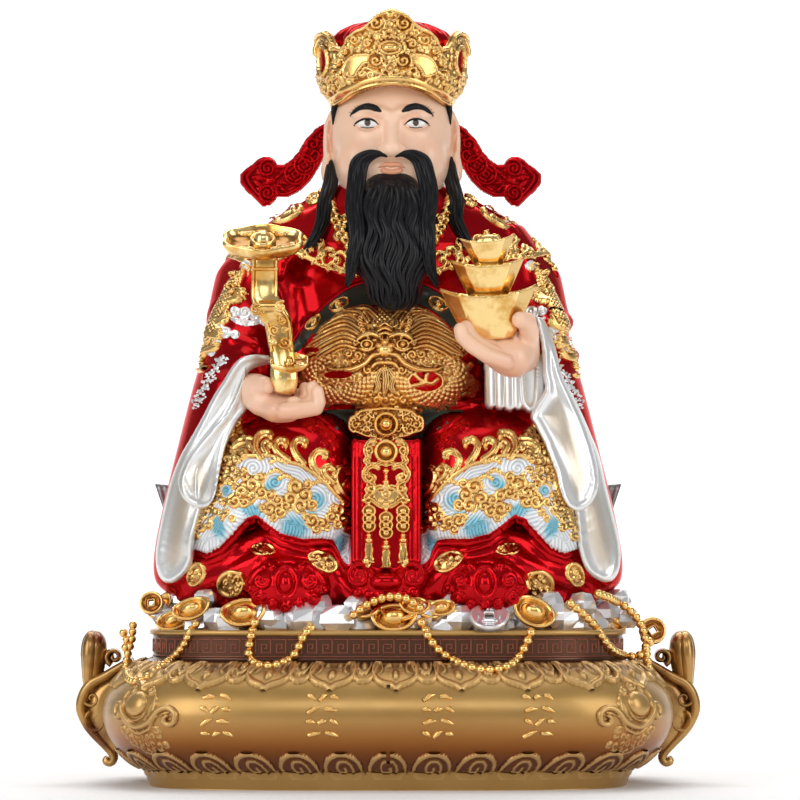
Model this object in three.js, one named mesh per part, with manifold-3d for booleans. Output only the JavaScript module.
// A seated god-of-wealth figure in court robes on a treasure basin, a painted resin ornament.
// Millimetres, +Z up, the front faces -Y, the origin is under the middle of the basin's foot.
import * as THREE from "three";
import { mergeVertices } from "three/addons/utils/BufferGeometryUtils.js";
import Module from "manifold-3d";

const wasm = await Module();
wasm.setup();

// Driving dimensions of the basin.
const FOOT_HEIGHT = 10;
const BELLY_HEIGHT = 58;
const NECK_HEIGHT = 13;
const LIP_HEIGHT = 3;
const NECK_HALF_WIDTH = 127;
const NECK_HALF_DEPTH = 88;
const BELLY_SWELL = 24.5;
const FOOT_FLARE = 5;
const FOOT_TAPER = 3;
const LIP_OUT = 2;
const PLAN_POWER = 3.6;
const HANDLE_WIDTH = 26;
const HANDLE_REACH = 168.5;

// Driving dimensions of the heap, the figure and what it holds.
const HEAP_HEIGHT = 8;
const HEAP_INSET = 3;
const STONES = 27;
const STONE_INSET = 9;
const HEAP_INGOT_LENGTH = 26;
const HEAP_INGOTS_AT = [-103, -76, 1, 30, 76];
const COIN_AT = 55;
const COIN_RADIUS = 11;
const BEAD_RADIUS = 2.9;
const BEAD_STEP = 6.4;
const FIGURE_HEIGHT = 329;
const WING_THICKNESS = 5;
const PEG_RADIUS = 2.2;
const SCEPTRE_THICKNESS = 7;
const LARGE_INGOT_LENGTH = 53;
const MIDDLE_INGOT_LENGTH = 40;
const SMALL_INGOT_LENGTH = 33;
const GAP = 0.3;
// Detail smaller than this is left out of the joined castings.
const TRIM = 0.25;

const NECK_BOTTOM = FOOT_HEIGHT + BELLY_HEIGHT;
const BASIN_HEIGHT = NECK_BOTTOM + NECK_HEIGHT + LIP_HEIGHT;
const SEAT_HEIGHT = BASIN_HEIGHT + HEAP_HEIGHT;
const STONE_HEIGHT = BASIN_HEIGHT + 5;
// The figure is laid out on a grid of 329 parts to its height.
const PART = FIGURE_HEIGHT / 329;

const count = (n) => Array.from({ length: n }, (_, i) => i);
const mix = (a, b, t) => a + (b - a) * t;
const SIDES = [-1, 1];

// Rows between key rows of numbers, on a smooth curve through them.
function smoothRows(keys, rows) {
  const at = (i) => keys[Math.min(Math.max(i, 0), keys.length - 1)];
  return count(rows).map((r) => {
    const place = (r / (rows - 1)) * (keys.length - 1);
    const i = Math.min(Math.floor(place), keys.length - 2);
    const t = place - i;
    return at(i).map((_, c) => {
      const [a, b, d, e] = [at(i - 1)[c], at(i)[c], at(i + 1)[c], at(i + 2)[c]];
      const lift = 0.5 * (d - a);
      const fall = 0.5 * (e - b);
      return (
        b + lift * t + (3 * (d - b) - 2 * lift - fall) * t * t + (2 * (b - d) + lift + fall) * t * t * t
      );
    });
  });
}

// A closed skin over rings that have the same number of points, ended by flat fans.
function skin(rings) {
  const n = rings[0].length;
  const position = rings.flat(2);
  const index = [];
  count(rings.length - 1).forEach((r) =>
    count(n).forEach((i) => {
      const [a, b] = [r * n + i, r * n + ((i + 1) % n)];
      index.push(a, b, b + n, a, b + n, a + n);
    }),
  );
  const top = (rings.length - 1) * n;
  for (let i = 1; i < n - 1; i++) index.push(0, i + 1, i, top, top + i, top + i + 1);
  const geometry = new THREE.BufferGeometry();
  geometry.setAttribute("position", new THREE.Float32BufferAttribute(position, 3));
  geometry.setIndex(index);
  return geometry;
}

// A closed geometry as a solid for joining and cutting.
function solid(geometry) {
  const bare = new THREE.BufferGeometry();
  bare.setAttribute("position", geometry.getAttribute("position"));
  if (geometry.index) bare.setIndex(geometry.index);
  const merged = mergeVertices(bare, 1e-4);
  const position = merged.attributes.position.array;
  const triangles = Uint32Array.from(merged.index.array);
  const make = () =>
    new wasm.Manifold(new wasm.Mesh({ numProp: 3, vertProperties: position, triVerts: triangles }));
  let made = make();
  if (made.volume() < 0) {
    for (let i = 0; i < triangles.length; i += 3) {
      [triangles[i + 1], triangles[i + 2]] = [triangles[i + 2], triangles[i + 1]];
    }
    made = make();
  }
  return made;
}

const join = (parts) => parts.reduce((a, b) => a.add(b));

function meshOf(name, made, colour, roughness, metalness) {
  const source = made.getMesh();
  const geometry = new THREE.BufferGeometry();
  geometry.setAttribute("position", new THREE.Float32BufferAttribute(source.vertProperties, 3));
  geometry.setIndex(Array.from(source.triVerts));
  geometry.computeVertexNormals();
  const material = new THREE.MeshStandardMaterial({ color: colour, roughness, metalness });
  const mesh = new THREE.Mesh(geometry, material);
  mesh.name = name;
  return mesh;
}

// A point of a rounded rectangle with the given half sizes; angle 0 is +X.
function roundedPoint(angle, halfX, halfY, power) {
  const part = (v) => Math.sign(v) * Math.abs(v) ** (2 / power);
  return [halfX * part(Math.cos(angle)), halfY * part(Math.sin(angle))];
}

// Level rings, one for each row [z, centre x, centre y, half x, half y], with waves round the edge.
function stack(rows, sides, power, waves = { depth: () => 0, turns: 1, phase: 0 }) {
  return skin(
    rows.map(([z, cx, cy, hx, hy], r) =>
      count(sides).map((i) => {
        const angle = (2 * Math.PI * (i + 0.5)) / sides;
        const [x, y] = roundedPoint(angle, hx, hy, power);
        const ripple = waves.depth(r / (rows.length - 1)) * Math.cos(waves.turns * angle + waves.phase);
        const swell = 1 + ripple / Math.max(hx, hy);
        return [cx + x * swell, cy + y * swell, z];
      }),
    ),
  );
}

// A limb, lock or strap: oval rings along a line of rows [x, y, z, half width, half thickness].
// Its width lies across the line and the given side vector's normal.
function limb(rows, sides, side = [0, 1, 0]) {
  const centres = rows.map(([x, y, z]) => new THREE.Vector3(x, y, z));
  const flat = new THREE.Vector3(...side).normalize();
  return skin(
    rows.map((row, r) => {
      const ahead = centres[Math.min(r + 1, rows.length - 1)]
        .clone()
        .sub(centres[Math.max(r - 1, 0)])
        .normalize();
      const across = new THREE.Vector3().crossVectors(ahead, flat).normalize();
      const through = new THREE.Vector3().crossVectors(across, ahead);
      return count(sides).map((i) => {
        const angle = (2 * Math.PI * i) / sides;
        return centres[r]
          .clone()
          .addScaledVector(across, row[3] * Math.cos(angle))
          .addScaledVector(through, row[4] * Math.sin(angle))
          .toArray();
      });
    }),
  );
}

function ball(centre, radii, wide = 8, high = 6, turn = [0, 0, 0]) {
  const geometry = new THREE.SphereGeometry(1, wide, high);
  geometry.rotateX(Math.PI / 2);
  geometry.scale(...radii);
  geometry.applyMatrix4(new THREE.Matrix4().makeRotationFromEuler(new THREE.Euler(...turn)));
  geometry.translate(...centre);
  return geometry;
}

function disc(centre, radius, thickness, sides, turn = [0, 0, 0]) {
  const geometry = new THREE.CylinderGeometry(radius, radius, thickness, sides);
  geometry.applyMatrix4(new THREE.Matrix4().makeRotationFromEuler(new THREE.Euler(...turn)));
  geometry.translate(...centre);
  return geometry;
}

// An outline in X and Z, given as points, made into a plate that runs from y to y + depth.
function plate(points, y, depth) {
  const shape = new THREE.Shape(points.map(([x, z]) => new THREE.Vector2(x, z)));
  const geometry = new THREE.ExtrudeGeometry(shape, { depth, bevelEnabled: false });
  geometry.rotateX(Math.PI / 2);
  geometry.translate(0, y + depth, 0);
  return geometry;
}

const mirrored = (points) => points.map(([x, ...rest]) => [-x, ...rest]);

// The basin's wall stands out from its neck by this much at a height.
function wallOut(z) {
  if (z < FOOT_HEIGHT) return FOOT_FLARE - FOOT_TAPER * (1 - z / FOOT_HEIGHT);
  if (z > NECK_BOTTOM) return z > NECK_BOTTOM + NECK_HEIGHT ? LIP_OUT : 0;
  const share = (z - FOOT_HEIGHT) / BELLY_HEIGHT;
  return mix(FOOT_FLARE, 0, share) + BELLY_SWELL * Math.sin(Math.PI * share ** 1.1) ** 0.6;
}

// The front's depth at a place across the basin's plan, grown by some amount.
function planFront(x, by) {
  const share = Math.min(Math.abs(x) / (NECK_HALF_WIDTH + by), 0.9999);
  return -(NECK_HALF_DEPTH + by) * (1 - share ** PLAN_POWER) ** (1 / PLAN_POWER);
}

// The point of the wall's front at a place across it, pushed out by some amount.
function wallPoint(x, z, out) {
  const stand = Math.max(wallOut(z), z > NECK_BOTTOM - 6 ? LIP_OUT : 0) + out;
  const across = Math.min(Math.abs(x), NECK_HALF_WIDTH + stand) * Math.sign(x);
  return [across, planFront(x, stand), z];
}

// The basin: foot, swelling belly, upright neck and lip.
function basinWall() {
  const bellyRows = count(7).map((i) => FOOT_HEIGHT + (BELLY_HEIGHT * (i + 0.25)) / 7.25);
  const neckTop = NECK_BOTTOM + NECK_HEIGHT;
  const heights = [0, FOOT_HEIGHT - 0.5, ...bellyRows, NECK_BOTTOM + 2, neckTop];
  const rows = heights.map((z) => {
    const out = wallOut(z);
    return [z, 0, 0, NECK_HALF_WIDTH + out, NECK_HALF_DEPTH + out];
  });
  const lip = [NECK_HALF_WIDTH + LIP_OUT, NECK_HALF_DEPTH + LIP_OUT];
  rows.push([neckTop + 0.5, 0, 0, ...lip], [BASIN_HEIGHT, 0, 0, ...lip]);
  const heap = [NECK_HALF_WIDTH - HEAP_INSET, NECK_HALF_DEPTH - HEAP_INSET];
  rows.push([BASIN_HEIGHT + 0.5, 0, 0, ...heap]);
  rows.push([SEAT_HEIGHT - GAP, 0, 0, heap[0] - 8, heap[1] - 8]);
  return solid(stack(rows, 28, PLAN_POWER));
}

// One handle at the basin's end: a fluted knob over a strap that curls under it.
function handle(side) {
  const reach = side * HANDLE_REACH;
  const strap = [
    [-30, 63], [-17, 60], [-6, 53], [-1.5, 46], [-2.5, 37], [-9, 27], [-17, 18], [-20, 12], [-17, 9], [-14, 11],
  ];
  const web = [[-33, 64], [-17, 60], [-6, 53], [-1.5, 46], [-2.5, 37], [-9, 27], [-17, 18], [-34, 22], [-40, 44]];
  const knob = [
    [-3, 50, 4, 5], [-5, 58, 7, 10], [-7.5, 67, 8, 12], [-10, 76, 6.5, 10], [-11, 82, 4, 6], [-11.4, 83.6, 1, 2],
  ];
  const half = HANDLE_WIDTH / 2;
  const webPoints = web.map(([x, z]) => [reach + side * x, z]);
  const strapRows = strap.map(([x, z], i) => [
    reach + side * x, 0, z, 2.2 * side, mix(half, half * 0.45, i / (strap.length - 1)),
  ]);
  const knobRows = knob.map(([x, z, thick, wide]) => [reach + side * x, 0, z, thick * side, (wide * half) / 13]);
  return join([
    solid(plate(webPoints, -half * 0.6, half * 1.2)),
    solid(limb(strapRows, 4)),
    solid(limb(knobRows, 8)),
  ]);
}

// A boat-shaped ingot with raised ends and a domed middle, along X, its foot at z = 0.
// Each ring is [length share, width share, height share, rise of the ends].
const INGOT_RINGS = [
  [0.5, 0.3, 0, 0], [0.78, 0.42, 0.26, 0.1], [1, 0.52, 0.5, 0.34], [0.84, 0.4, 0.46, 0.28], [0.55, 0.3, 0.4, 0.05],
  [0.3, 0.22, 0.52, 0],
];
function ingotSkin(length, sides, rings) {
  const half = length / 2;
  return skin(
    rings.map(([sx, sy, up, lift]) =>
      count(sides).map((i) => {
        const angle = (2 * Math.PI * i) / sides;
        const rise = up + lift * Math.cos(angle) ** 2;
        return [half * sx * Math.cos(angle), half * sy * Math.sin(angle), half * rise];
      }),
    ),
  );
}

function placed(geometry, position, turn) {
  geometry.applyMatrix4(new THREE.Matrix4().makeRotationFromEuler(new THREE.Euler(...turn)));
  geometry.translate(...position);
  return geometry;
}

// Strings of beads that hang over the lip: [start x, start z, end x, end z, sag].
function beadStrings() {
  const strings = [
    [-0.98, 2, -0.78, 3, 27], [-0.55, 2, -0.31, 2, 21], [0.14, 2, 0.59, 2, 22], [0.8, 8, 1.02, -2, 14],
  ];
  return strings.map(([x0, z0, x1, z1, sag]) => {
    const width = NECK_HALF_WIDTH;
    const at = (t) => [
      mix(x0, x1, t) * width, BASIN_HEIGHT + mix(z0, z1, t) - sag * 4 * t * (1 - t),
    ];
    const length = Math.hypot((x1 - x0) * width, sag * 2.1);
    const beads = Math.round(length / BEAD_STEP);
    const rows = count(2 * beads + 1).map((i) => {
      const t = i / (2 * beads);
      const [x, z] = at(t);
      const radius = BEAD_RADIUS * (i % 2 ? 1 : 0.45);
      const out = BEAD_RADIUS * (0.9 - 4 * Math.abs(2 * t - 1) ** 8);
      return [...wallPoint(x, z, out), radius, radius];
    });
    return solid(limb(rows, 4));
  });
}

// Places an equal way apart round the heap: [x, y, direction along the rim].
function rimPlaces(places) {
  const [a, b] = [NECK_HALF_WIDTH - STONE_INSET, NECK_HALF_DEPTH - STONE_INSET];
  const line = count(721).map((i) => roundedPoint((Math.PI * i) / 360, a, b, PLAN_POWER));
  const steps = line.slice(1).map(([x, y], i) => [x - line[i][0], y - line[i][1]]);
  const whole = steps.reduce((sum, step) => sum + Math.hypot(...step), 0);
  let run = 0;
  const found = [];
  steps.forEach((step, i) => {
    run += Math.hypot(...step);
    if (run >= (whole * (found.length + 0.5)) / places) found.push([...line[i + 1], Math.atan2(step[1], step[0])]);
  });
  return found;
}

// The treasure between the figure's hem and the lip: ingots, a coin and cut stones, all round.
function treasure() {
  const lowRings = [INGOT_RINGS[0], INGOT_RINGS[2], INGOT_RINGS[4], INGOT_RINGS[5]];
  const ingotOn = (x, y, along) => {
    const made = placed(ingotSkin(HEAP_INGOT_LENGTH, 7, lowRings), [0, 0, 0], [0.75, 0, 0]);
    return solid(placed(made, [x, y, STONE_HEIGHT - 4], [0, 0, along]));
  };
  const pieces = HEAP_INGOTS_AT.map((x) => ingotOn(x, planFront(x, -STONE_INSET), 0.008 * x));
  const coinY = planFront(COIN_AT, -STONE_INSET) - 3;
  pieces.push(solid(disc([COIN_AT, coinY, STONE_HEIGHT], COIN_RADIUS, 4, 12, [0.25, 0, 0])));
  rimPlaces(STONES).forEach(([x, y, along], i) => {
    const taken = y < 0 && [...HEAP_INGOTS_AT, COIN_AT].some((at) => Math.abs(at - x) < 10);
    if (taken) return;
    if (i % 5 === 2 && y > 0) {
      pieces.push(ingotOn(x, y, along));
    } else {
      const stone = new THREE.CylinderGeometry(0.55, 1, 1.3, 4);
      stone.scale(12 + (i % 3) * 2, 11, 10 + (i % 4));
      pieces.push(solid(placed(stone, [x, y, STONE_HEIGHT], [i * 0.9, i * 0.7, i * 1.3])));
    }
  });
  return pieces;
}

// The figure's shapes, in parts of its height, before they are set on the heap.
const SKIRT = [
  [0, 0, -3, 103, 66], [12, 0, -4, 110, 71], [30, 0, -2, 100, 68], [62, 0, 6, 92, 60], [112, 0, 10, 78, 50],
];
const TORSO = [
  [96, 0, 8, 72, 50], [130, 0, 8, 74, 47], [165, 0, 8, 76, 42], [190, 0, 7, 71, 37], [206, 0, 5, 54, 33],
  [219, 0, 1, 34, 28], [236, 1, -4, 23, 24],
];
const LEG = [
  [36, 60, -40, 44, 41], [46, 60, -42, 42, 43], [62, 58, -42, 40, 42], [84, 55, -40, 36, 38], [99, 51, -36, 30, 30],
  [107, 47, -32, 18, 18],
];
const SLEEVE = [
  [212, 60, 6, 14, 22], [197, 68, 5, 21, 30], [174, 73, 2, 24, 35], [148, 77, -4, 27, 41], [125, 82, -9, 25, 45],
  [95, 91, -12, 22, 46], [62, 98, -14, 23, 44], [34, 104, -15, 23, 40], [18, 105, -15, 22, 34],
  [9, 105, -15, 12, 22],
];
const BEARD = [
  [238, 2.5, -34, 25, 10], [222, 2.5, -45, 27, 13], [205, 3, -52, 24, 12], [188, 4, -55, 19, 11],
  [174, 5, -56, 11, 8], [164, 6, -55, 3, 3],
];
const CAP = [
  [276, 2, -6, 33, 35], [288, 2, -6, 36, 37], [304, 2, -5, 37, 36], [317, 2, -3, 34, 31], [323, 2, -2, 24, 22],
];

const grown = (rows, by) => rows.map(([z, cx, cy, hx, hy]) => [z, cx, cy, hx + by, hy + by]);
const onSide = (rows, side) => rows.map(([z, cx, ...rest]) => [z, cx * side, ...rest]);

function skirt(by = 0) {
  const folds = { depth: (t) => 2.6 * (1 - t), turns: 11, phase: 0.6 };
  return solid(stack(grown(smoothRows(SKIRT, 5), by), 36, 2.7, folds));
}

// The wavy hem over a knee: [distance from the middle, height].
const HEM = [[18, 26], [24, 31], [36, 39], [50, 40], [60, 46], [70, 51], [80, 44], [92, 33], [106, 30]];
function hemHeight(x) {
  const i = Math.min(Math.max(HEM.findIndex(([at]) => at > x), 1), HEM.length - 1);
  const [[a, low], [b, high]] = [HEM[i - 1], HEM[i]];
  return mix(low, high, Math.min(Math.max((x - a) / (b - a), 0), 1));
}

// One thigh and knee under the robe, whose wavy hem stands proud of the skirt and is fluted above.
function leg(side) {
  const flutes = { depth: (t) => 1.6 * Math.max(0, 1 - 2.4 * t), turns: 11, phase: 0 };
  const rows = onSide(smoothRows(LEG, 6), side);
  const made = stack(rows, 22, 2.5, flutes);
  const position = made.getAttribute("position");
  count(position.count).forEach((i) => {
    const drop = Math.max(0, 1 - (position.getZ(i) - LEG[0][0]) / 40);
    const lift = hemHeight(Math.abs(position.getX(i))) - LEG[0][0];
    position.setZ(i, position.getZ(i) + lift * drop);
  });
  return solid(made);
}

// The round carved toe of a boot, below the hem.
function boot(side) {
  return solid(ball([side * 53, -71, 17], [21, 17, 15], 10, 6));
}

// A wide sleeve whose opening hangs to the heap as two scooped lobes.
function sleeve(side) {
  const body = solid(stack(onSide(smoothRows(SLEEVE, 6), side), 12, 2.3));
  const fall = [[74, -52, 134, 8, 6], [86, -60, 112, 8, 9], [95, -63, 88, 10, 10], [99, -63, 68, 10, 9], [101, -62, 58, 5, 4]];
  const inner = limb(
    fall.map(([x, ...rest]) => [side * x, ...rest]),
    6,
  );
  const outer = ball([side * 107, -60, 52], [14, 11, 42], 6, 5, [0, side * 0.13, 0]);
  const scoop = ball([side * 96, -76, 82], [6, 9, 22], 6, 5, [0, side * 0.2, 0]);
  const rise = side > 0 ? 12 : 0;
  const forearm = [[79, -14, 160, 18, 18], [78, -38, 144 + rise / 2, 15, 17], [74, -58, 129 + rise, 10, 13]];
  const arm = limb(
    forearm.map(([x, ...rest]) => [side * x, ...rest]),
    7,
    [0, 0, 1],
  );
  return body.subtract(solid(outer)).add(solid(inner)).add(solid(arm)).subtract(solid(scoop));
}

// A short cloak over the shoulders whose edge falls in four wide lobes.
function cloak() {
  const sides = 20;
  const ring = (halfX, halfY, z, lobes, drop) =>
    count(sides).map((i) => {
      const angle = (2 * Math.PI * (i + 0.5)) / sides;
      const lobe = Math.abs(Math.cos(2 * angle)) ** 0.7;
      const [x, y] = roundedPoint(angle, halfX + lobes * lobe, halfY + lobes * lobe, 2.2);
      const front = Math.max(0, -Math.sin(angle)) ** 2;
      return [x, y + 2, z + drop * (1 - lobe) - 9 * front * (halfX > 60 ? 1 : 0)];
    });
  return solid(
    skin([
      ring(22, 20, 200, 0, 0), ring(60, 34, 190, 8, 6), ring(78, 43, 193, 8, 6), ring(78, 43, 196, 8, 6),
      ring(58, 38, 211, 3, 2), ring(38, 31, 222, 0, 0), ring(26, 25, 229, 0, 0), ring(21, 20, 229, 0, 0),
    ]),
  );
}

function finger(from, bend, tip, radius) {
  const rows = [[...from, radius, radius], [...bend, radius, radius], [...tip, radius * 0.75, radius * 0.75]];
  return solid(limb(rows, 4, [0, 1, 0.2]));
}

// The figure's right hand, palm up under the foot of the sceptre.
function sceptreHand() {
  const parts = [
    solid(ball([-60, -77, 114], [19, 12, 8.5], 8, 5)),
    solid(ball([-72, -76, 124], [7.5, 8, 9], 6, 5)),
    solid(limb([[-72, -45, 122, 11, 11], [-66, -72, 116, 10, 9]], 7, [0, 0, 1])),
  ];
  count(4).forEach((i) => {
    const y = -88 + i * 5.4;
    parts.push(finger([-52, y, 112], [-42, y, 114], [-39 + i * 0.8, y, 126 - i], 3.1));
  });
  return join(parts);
}

// The figure's left hand, cupped under the largest ingot.
function ingotHand() {
  const parts = [
    solid(ball([64, -76, 140], [17, 12, 11], 8, 5, [0, 0.5, 0])),
    solid(limb([[76, -46, 130, 11, 11], [69, -70, 137, 11, 10]], 7, [0, 0, 1])),
    finger([72, -82, 145], [77, -84, 154], [73, -84, 163], 4.2),
  ];
  count(4).forEach((i) => {
    const y = -86 + i * 5.4;
    parts.push(finger([56, y, 137], [44, y, 145], [38 - i * 0.6, y, 157 + i], 3.2));
  });
  return join(parts);
}

// Head, ears, hair locks, moustaches and a long beard carved in locks.
function head() {
  const parts = [
    solid(ball([2, -8, 258], [32, 33, 41], 10, 6)),
    solid(ball([2, -14, 238], [29, 27, 21], 8, 5)),
    solid(ball([2, -42, 247], [5.5, 6.5, 5], 6, 4)),
    solid(ball([2, -38, 234], [10, 5, 3], 6, 4)),
    solid(stack(BEARD, 12, 2, { depth: () => 1.4, turns: 6, phase: 0 })),
  ];
  SIDES.forEach((side) => {
    const across = (rows) => rows.map(([x, ...rest]) => [2 + side * x, ...rest]);
    const lock = [[29, -14, 250, 6, 6], [33, -26, 228, 5, 5], [37, -34, 208, 5, 5], [42, -38, 192, 2, 3]];
    const moustache = [[5, -43, 240, 3, 3], [15, -42, 237, 4, 3.6], [21, -47, 222, 4, 4], [21, -54, 200, 3.8, 3.6], [24, -54, 184, 1.4, 1.4]];
    parts.push(solid(ball([2 + side * 34, -4, 252], [4.5, 6, 18], 6, 5)));
    parts.push(solid(ball([2 + side * 13, -36, 268], [8, 4, 2.5], 6, 4)));
    parts.push(solid(limb(across(lock), 4)));
    parts.push(solid(limb(across(moustache), 4)));
  });
  return join(parts);
}

// The court hat: a soft cap behind a tall pierced crown whose edge rises in a front peak and two side horns.
function hat() {
  const sides = 16;
  const crownRing = (radius, edge) =>
    count(sides).map((i) => {
      const angle = (2 * Math.PI * (i + 0.5)) / sides;
      const front = -Math.sin(angle);
      const across = Math.abs(Math.cos(angle));
      const peak = 318 + 11 * Math.max(0, front) ** 5 - 13 * Math.exp(-(((across - 0.72) / 0.16) ** 2));
      const z = edge ? peak - 14 * Math.max(0, -front) : 278 + 10 * Math.max(0, front) ** 2;
      return [2 + radius * Math.cos(angle), -6 + radius * 0.97 * Math.sin(angle), z];
    });
  const crown = skin([crownRing(30, false), crownRing(36, false), crownRing(41, true), crownRing(36, true)]);
  const bosses = [[2, -44, 303, 7, 9], [-16, -41, 306, 6, 6], [20, -41, 306, 6, 6]];
  return join([
    solid(stack(CAP, 12, 2, { depth: (t) => 1.5 * t, turns: 6, phase: 0 })),
    solid(crown),
    ...bosses.map(([x, y, z, wide, high]) => solid(ball([x, y, z], [wide, 3.5, high], 6, 4))),
  ]);
}

// The belly, its dragon mask in relief, the belt with its round buckle, and the hanging front panel.
function dressFront() {
  const parts = [
    solid(ball([0, -16, 134], [51, 46, 38], 12, 6)),
    solid(stack([[96, 0, 4, 60, 58], [109, 0, 4, 60, 58]], 14, 2)),
    solid(ball([0, -61, 103], [19, 6, 9], 8, 4)),
    solid(ball([0, -66, 103], [6.5, 5, 6.5], 6, 4)),
    solid(plate([[-17.5, 12], [17.5, 12], [17.5, 100], [-17.5, 100]], -75, 30)),
    solid(plate([[-9, 4], [9, 4], [15, 9], [23, 11], [24, 19], [17, 23], [-17, 23], [-24, 19], [-23, 11], [-15, 9]], -82, 14)),
    solid(ball([0, -59, 137], [13, 8, 13], 6, 5)),
  ];
  SIDES.forEach((side) => {
    const across = (rows) => rows.map(([x, ...rest]) => [side * x, ...rest]);
    const body = [[8, -60, 134, 4, 3], [22, -57, 126, 5, 4], [36, -50, 132, 5, 4], [38, -44, 147, 4, 4], [26, -44, 158, 3, 3]];
    const lapel = [[50, -38, 122, 8, 3], [43, -44, 148, 8, 3], [28, -47, 168, 8, 3], [10, -47, 178, 8, 3]];
    parts.push(solid(limb(across(body), 4)));
    parts.push(solid(limb(across(lapel), 4)));
    parts.push(solid(disc([side * 21, -82, 17], 8, 5, 7)));
  });
  [[-10, 42], [0, 38], [10, 42]].forEach(([x, low]) => {
    parts.push(solid(disc([x, -76, low + 11], 4, 5, 6)));
    parts.push(solid(limb([[x, -75.5, low + 8, 1.8, 2], [x, -75.5, low - 12, 3, 2]], 4)));
  });
  parts.push(solid(disc([0, -76, 82], 7, 5, 8)));
  parts.push(solid(ball([0, -76, 68], [13, 3.5, 5], 6, 5)));
  return join(parts);
}

// A fan of pleats that shows past each sleeve.
function fan(side) {
  const points = [[104, 40], [110, 50], [121, 50], [128, 71], [110, 69], [98, 62]];
  const outline = side > 0 ? points : mirrored(points).reverse();
  return solid(plate(outline, 14, 7));
}

// A ruyi sceptre: a cloud-shaped head, a bent strap of a stem, a smaller cloud and a foot.
function sceptre(by = 0) {
  const y = -80;
  const thick = SCEPTRE_THICKNESS / PART / 2 + by;
  const stem = [
    [-70, y - 3, 204, 6 + by, thick], [-70, y - 4, 186, 6.8 + by, thick], [-68.5, y - 2, 172, 6.8 + by, thick],
    [-62, y, 162, 7.4 + by, thick], [-58, y - 2, 150, 7 + by, thick], [-57, y, 138, 6.6 + by, thick],
    [-57, y, 128, 6.4 + by, thick + 1.5], [-57, y, 121.5 - by, 4.5 + by, thick],
  ];
  const cloud = (half, sides, tilt, at) => {
    const rings = [[0.7, -2.6], [1, -0.4], [0.98, 2.4], [0.8, 1.2]].map(([share, lift]) =>
      count(sides).map((i) => {
        const angle = (2 * Math.PI * i) / sides;
        const lobe = 1 + 0.12 * Math.cos(3 * angle - Math.PI / 2);
        return [half * share * lobe * Math.cos(angle), half * 0.66 * share * lobe * Math.sin(angle), lift];
      }),
    );
    return solid(placed(skin(rings), at, [tilt, 0, 0]));
  };
  return join([
    solid(limb(stem, 6)),
    cloud(21 + by, 12, 0.72, [-67.5, y - 2, 204]),
    solid(ball([-67.5, y - 4, 207], [7, 6, 5], 6, 5)),
    cloud(11 + by, 9, 0.5, [-55.5, y - 4, 138]),
  ]);
}

// The three ingots stand one in the other: [length, foot height in the figure's parts, lean].
const INGOT_AT = [54.5, -78];
const INGOT_FOOT = 151;
function ingot(length, foot, lean, by = 0) {
  const geometry = ingotSkin(length + 2 * by, 10, INGOT_RINGS);
  return solid(placed(geometry, [INGOT_AT[0], INGOT_AT[1], foot - by], [0.12, lean, 0]));
}

// One wing of the hat: a curved band that ends in a cloud head, with a peg at its root.
function wing(side) {
  const half = WING_THICKNESS / PART / 2;
  const band = [[29, 266], [38, 263], [45, 253], [52, 243], [62, 238], [72, 237]];
  const rows = band.map(([x, z], i) => [2 + side * x, 24 - i * 1.5, z, side * 6.8, half]);
  const tip = [[60, 246], [66, 250], [73, 248], [77, 243], [84, 240], [83, 234], [77, 226], [71, 221], [66, 222], [62, 228]];
  const points = tip.map(([x, z]) => [2 + side * (x - 1), z]);
  const made = join([
    solid(limb(rows, 6)),
    solid(plate(side > 0 ? points.reverse() : points, 17 - half, 2 * half)),
    solid(disc([2 + side * 69, 17, 244], 6, 2 * half + 2, 8)),
    solid(disc([2 + side * 69, 17, 229], 6, 2 * half + 2, 8)),
  ]);
  return made;
}

function peg(side, by = 0) {
  const rows = [0, 1].map((end) => [
    2 + side * mix(32, 22 - by, end), 24 - 2 * end, 266, PEG_RADIUS / PART + by, PEG_RADIUS / PART + by,
  ]);
  return solid(limb(rows, 10));
}

function figureBody() {
  const parts = [skirt(), solid(stack(smoothRows(TORSO, 6), 18, 2.3)), cloak(), hat(), head(), dressFront()];
  SIDES.forEach((side) => parts.push(leg(side), boot(side), sleeve(side), fan(side)));
  parts.push(sceptreHand(), ingotHand());
  return join(parts).simplify(TRIM);
}

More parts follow.
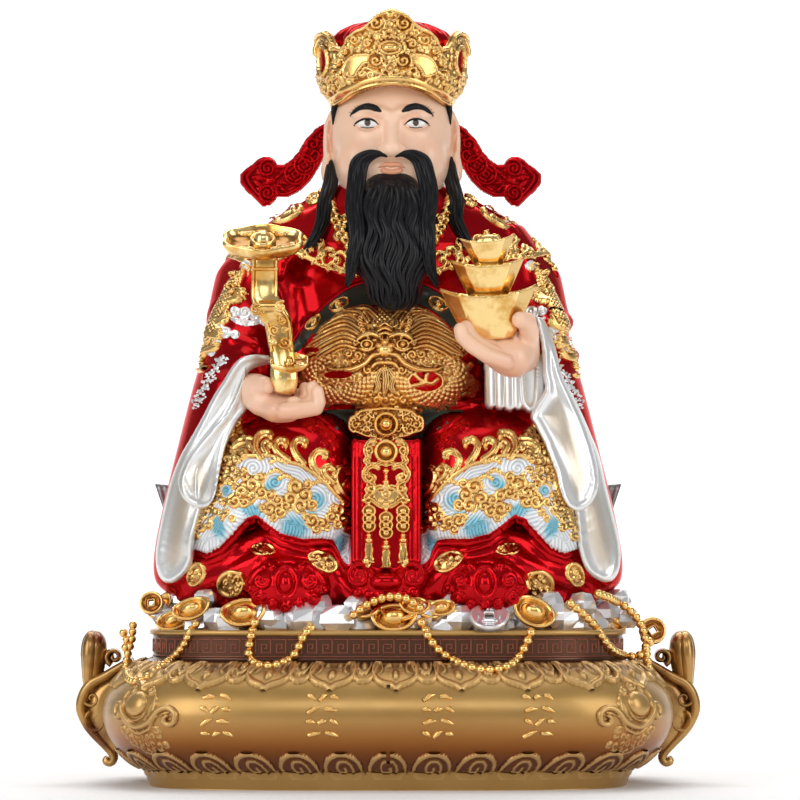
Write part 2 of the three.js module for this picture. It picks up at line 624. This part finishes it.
// A casting is one body, without the slivers that cutting leaves.
const whole = (made) => made.decompose().reduce((a, b) => (a.volume() > b.volume() ? a : b));
const raise = (made) => made.scale([PART, PART, PART]).translate([0, 0, SEAT_HEIGHT]);

const gap = GAP / PART;
const ingotSizes = [LARGE_INGOT_LENGTH, MIDDLE_INGOT_LENGTH, SMALL_INGOT_LENGTH].map((size) => size / PART);
const ingotFeet = [INGOT_FOOT, INGOT_FOOT + ingotSizes[0] * 0.31, INGOT_FOOT + ingotSizes[0] * 0.31 + ingotSizes[1] * 0.32];
const ingotLeans = [0.05, 0.08, 0.1];
const ingots = ingotSizes.map((size, i) => ingot(size, ingotFeet[i], -ingotLeans[i]));
const ingotRoom = ingotSizes.map((size, i) => ingot(size, ingotFeet[i], -ingotLeans[i], gap));
const wingSolids = SIDES.map((side) => wing(side).add(peg(side)));

let figure = figureBody();
ingotRoom.forEach((room) => (figure = figure.subtract(room)));
figure = figure.subtract(sceptre(gap));
SIDES.forEach((side) => (figure = figure.subtract(peg(side, gap))));

const basin = join([basinWall(), handle(-1), handle(1), ...treasure(), ...beadStrings()]).simplify(TRIM);
const seatRoom = raise(skirt(gap)).add(raise(figure));

const caishenFigure = new THREE.Group();
caishenFigure.add(
  meshOf("treasure_basin", whole(basin.subtract(seatRoom)), 0x9a6b24, 0.35, 0.7),
  meshOf("seated_figure", raise(whole(figure)), 0xb3121a, 0.2, 0.2),
  meshOf("ruyi_sceptre", raise(sceptre()), 0xd9a441, 0.2, 0.9),
  meshOf("large_ingot", raise(ingots[0]), 0xe0b04a, 0.2, 0.9),
  meshOf("middle_ingot", raise(ingots[1].subtract(ingotRoom[0])), 0xe0b04a, 0.2, 0.9),
  meshOf("small_ingot", raise(ingots[2].subtract(ingotRoom[1])), 0xe0b04a, 0.2, 0.9),
  meshOf("hat_wing_right", raise(wingSolids[0]), 0xb3121a, 0.2, 0.2),
  meshOf("hat_wing_left", raise(wingSolids[1]), 0xb3121a, 0.2, 0.2),
);

export default caishenFigure;
